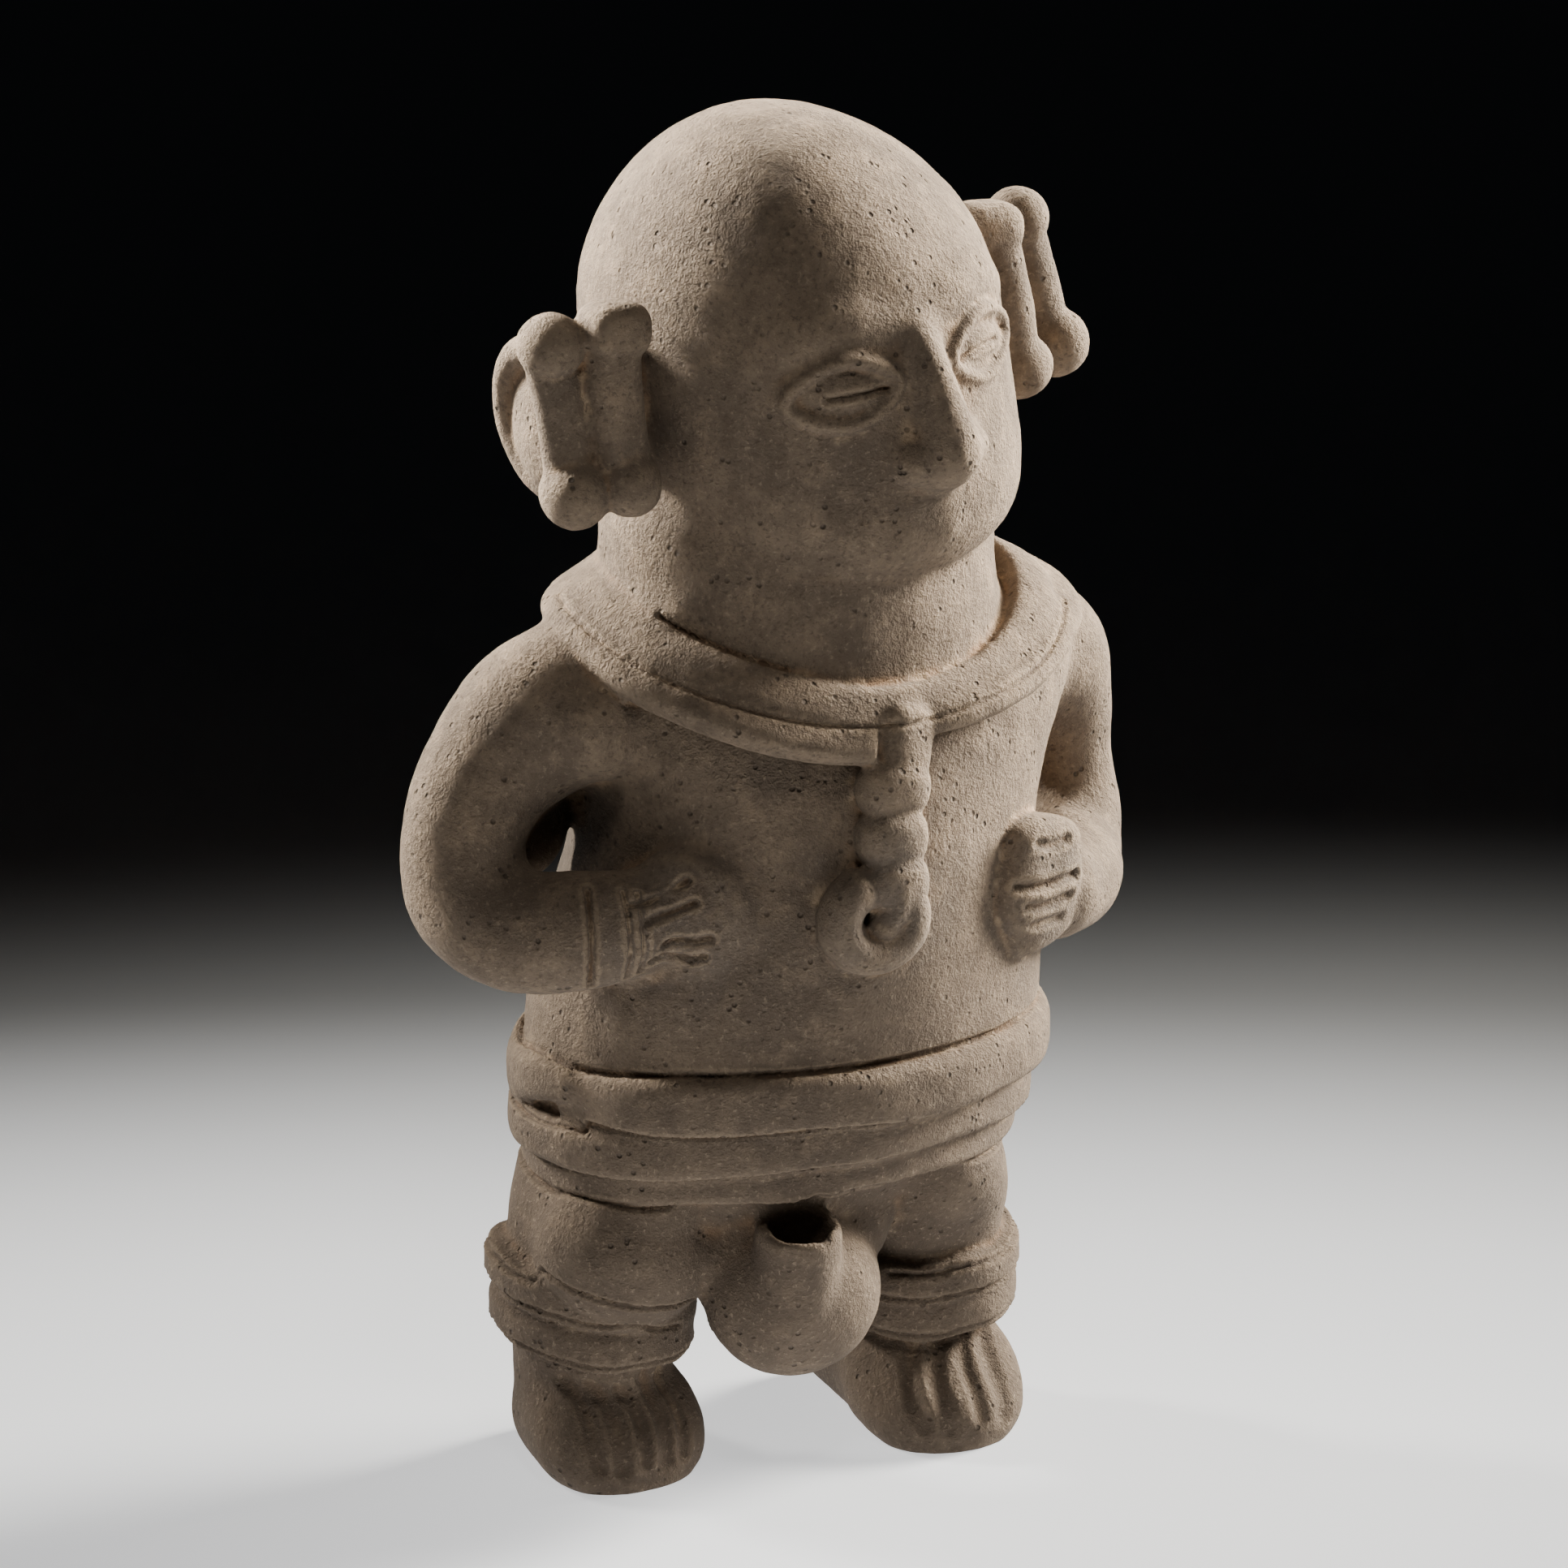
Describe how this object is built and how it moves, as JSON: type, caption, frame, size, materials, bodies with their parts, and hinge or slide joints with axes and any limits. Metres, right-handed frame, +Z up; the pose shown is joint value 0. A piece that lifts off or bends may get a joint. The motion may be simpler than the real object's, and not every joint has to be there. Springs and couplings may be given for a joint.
{
  "type": "pottery standing figure",
  "caption": "Squat standing figure in fired clay, hands on the belly, with coil ear ornaments, a flat collar with a pendant, a rolled belt and ankle bands.",
  "frame": {"origin": "on the standing surface, under the middle of the figure's box", "axes": "+Z up from the soles to the crown, -Y the way the figure faces, +X towards its left hand"},
  "size_m": [0.1758, 0.102, 0.2894],
  "materials": {
    "fired_clay": "matt, unglazed, sandy grey-brown clay with fine pits and warmer clay showing in the joints and worn places"
  },
  "bodies": {
    "root": {"figure": "fired_clay"}
  },
  "joints": []
}
